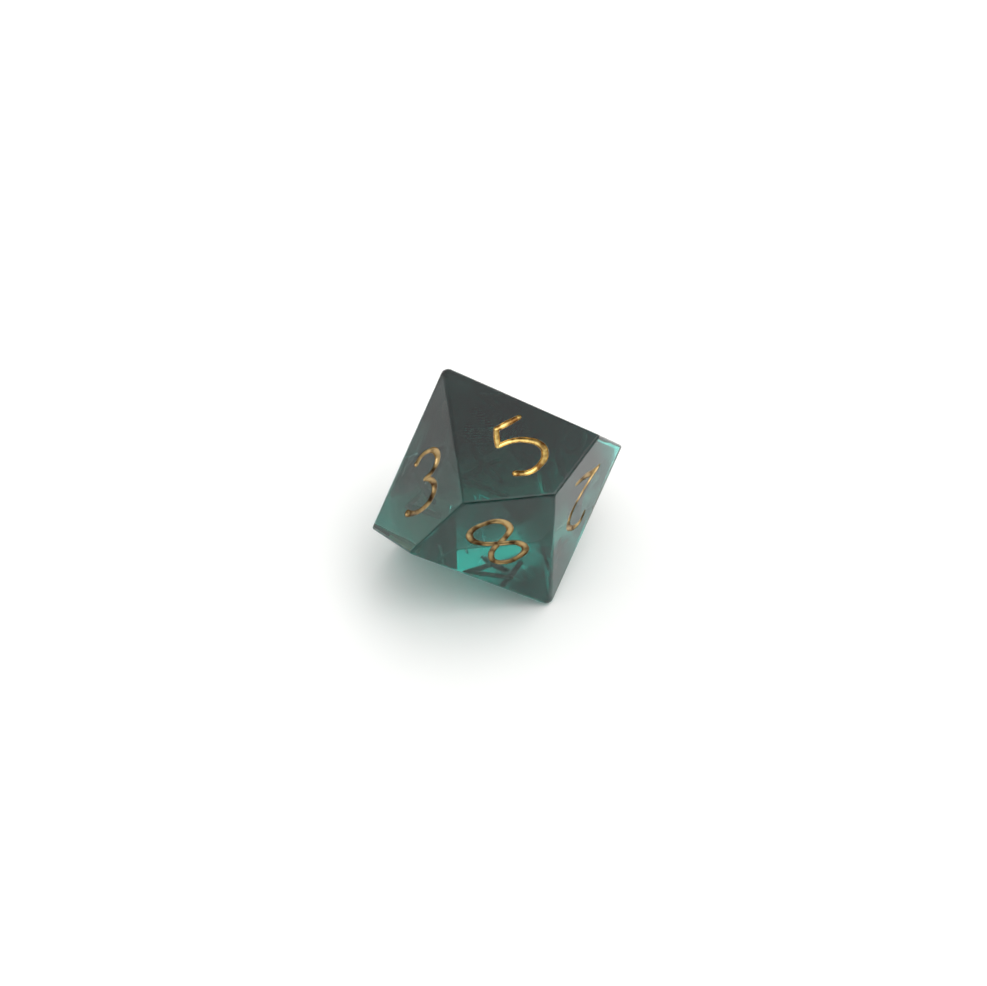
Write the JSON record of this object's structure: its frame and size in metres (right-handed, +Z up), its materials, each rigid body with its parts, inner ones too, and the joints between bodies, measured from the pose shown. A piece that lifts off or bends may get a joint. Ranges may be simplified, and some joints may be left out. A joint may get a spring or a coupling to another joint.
{
  "type": "ten-sided die",
  "caption": "Ten-sided polyhedral die: a clear teal glass trapezohedron with engraved numerals filled with gold lacquer.",
  "frame": {"origin": "middle of the face that the die lies on, which carries the 4, straight under the die's centre", "axes": "+Z is up, out of the top face with the 5; +Y runs along that face's line of symmetry to the apex at the top of the 5; +X is to the right of the 5"},
  "size_m": [0.0224, 0.0178, 0.016],
  "materials": {
    "teal_glass": "polished clear teal glass with faint smoky veils",
    "gold_lacquer": "metallic gold lacquer, brushed into the engraving"
  },
  "bodies": {
    "root": {"glass_body": "teal_glass", "numeral_0_inlay": "gold_lacquer", "numeral_1_inlay": "gold_lacquer", "numeral_2_inlay": "gold_lacquer", "numeral_3_inlay": "gold_lacquer", "numeral_4_inlay": "gold_lacquer", "numeral_5_inlay": "gold_lacquer", "numeral_6_inlay": "gold_lacquer", "numeral_7_inlay": "gold_lacquer", "numeral_8_inlay": "gold_lacquer", "numeral_9_inlay": "gold_lacquer", "underline_6_inlay": "gold_lacquer", "underline_9_inlay": "gold_lacquer"}
  },
  "joints": []
}
